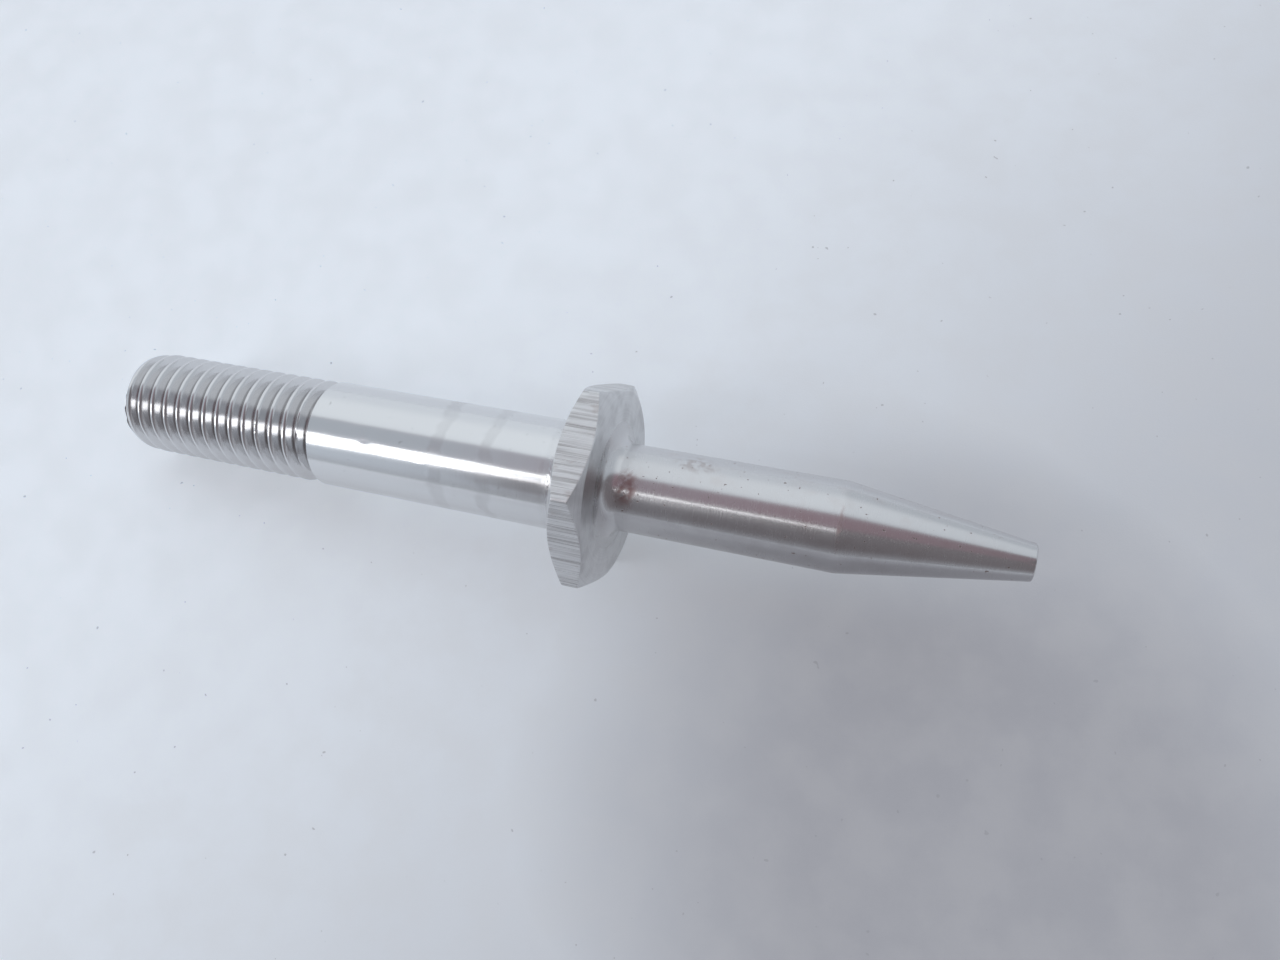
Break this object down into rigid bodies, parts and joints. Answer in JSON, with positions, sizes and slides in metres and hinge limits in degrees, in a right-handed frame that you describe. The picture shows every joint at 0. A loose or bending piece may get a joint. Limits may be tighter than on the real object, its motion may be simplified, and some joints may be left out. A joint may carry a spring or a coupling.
{
  "type": "threaded center stud",
  "caption": "Solid turned center stud: threaded tail, plain shank, thin hexagonal collar and a long pin nose tapering to a small flat tip.",
  "frame": {"origin": "centre of the flat end face of the threaded tail, on the turning axis", "axes": "+X along the turning axis towards the nose tip, +Z square to one flat of the hexagonal collar, +Y towards one of its corners"},
  "size_m": [0.085, 0.0196, 0.017],
  "materials": {
    "bright_turned_steel": "bright turned stainless steel: polished shank, fine turning marks on the nose, drawn-bar lines on the hex flats"
  },
  "bodies": {
    "root": {"center_stud": "bright_turned_steel"}
  },
  "joints": []
}
